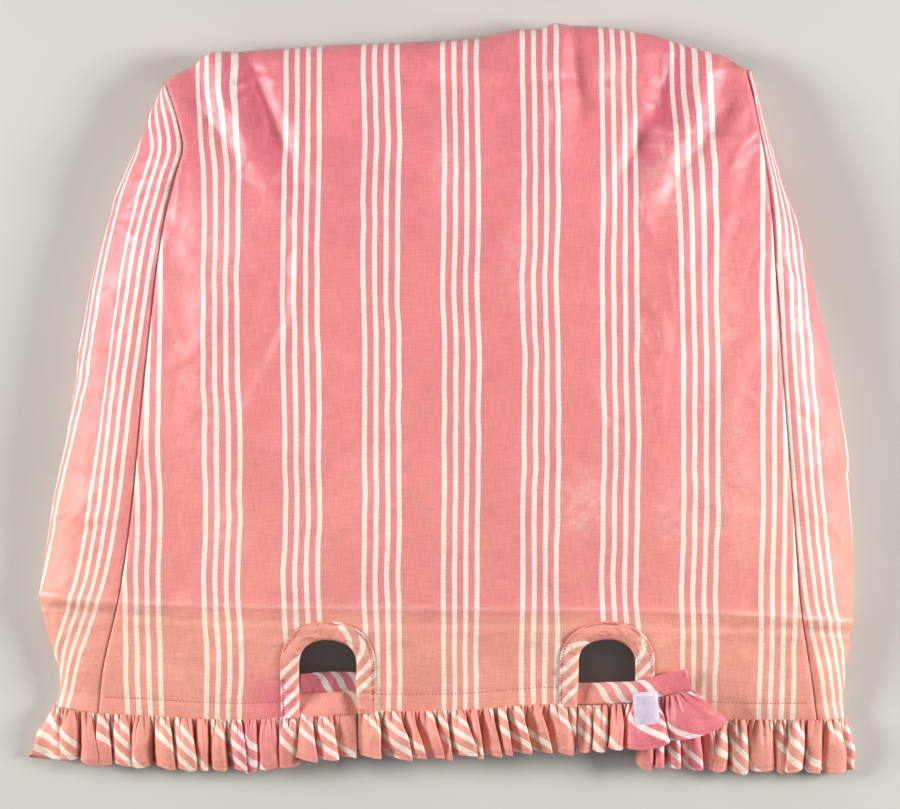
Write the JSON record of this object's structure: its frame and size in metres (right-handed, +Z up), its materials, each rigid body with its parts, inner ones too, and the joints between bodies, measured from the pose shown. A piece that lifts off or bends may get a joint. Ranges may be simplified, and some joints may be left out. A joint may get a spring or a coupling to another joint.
{
  "type": "loose fabric cover",
  "caption": "Loose tapered cover of striped cotton lying flat, with side gussets, a gathered frill along the hem and arched openings crossed by swinging frilled straps.",
  "frame": {"origin": "middle of the cover's outline, on the surface that it lies on", "axes": "+Z up from that surface, +Y towards the closed top, +X to the right of its face"},
  "size_m": [0.619, 0.5551, 0.0599],
  "materials": {
    "faded_chintz": "glazed cotton, faded, with cream stripes",
    "unfaded_chintz": "glazed cotton, unfaded pink",
    "bias_binding": "glazed cotton on the bias, with cream stripes",
    "frill_chintz": "glazed cotton, gathered, with cream stripes",
    "hook_tape": "hook-and-loop tape"
  },
  "bodies": {
    "cover": {"front_panel": "faded_chintz", "back_panel": "faded_chintz", "left_gusset": "faded_chintz", "right_gusset": "faded_chintz", "left_arch_binding": "bias_binding", "right_arch_binding": "bias_binding", "left_hem_facing": "unfaded_chintz", "middle_hem_facing": "unfaded_chintz", "right_hem_facing": "unfaded_chintz", "left_frill": "frill_chintz", "middle_frill": "frill_chintz", "right_frill": "frill_chintz", "left_panel_patch": "hook_tape", "right_panel_patch": "hook_tape"},
    "left_strap_end": {"left_strap": "bias_binding", "left_strap_tab": "unfaded_chintz", "left_strap_frill": "frill_chintz", "left_strap_patch": "hook_tape"},
    "right_strap_end": {"right_strap": "bias_binding", "right_strap_frill": "unfaded_chintz", "right_strap_patch": "hook_tape"}
  },
  "joints": [
    {"name": "left_strap_swing", "type": "hinge", "parent": "cover", "child": "left_strap_end", "pos_m": [-0.0605, -0.227, 0.0247], "axis": [0, 1, 0], "range_deg": [0, 100]},
    {"name": "right_strap_swing", "type": "hinge", "parent": "cover", "child": "right_strap_end", "pos_m": [0.1075, -0.221, 0.026], "axis": [0, -1, 0], "range_deg": [0, 90]}
  ]
}
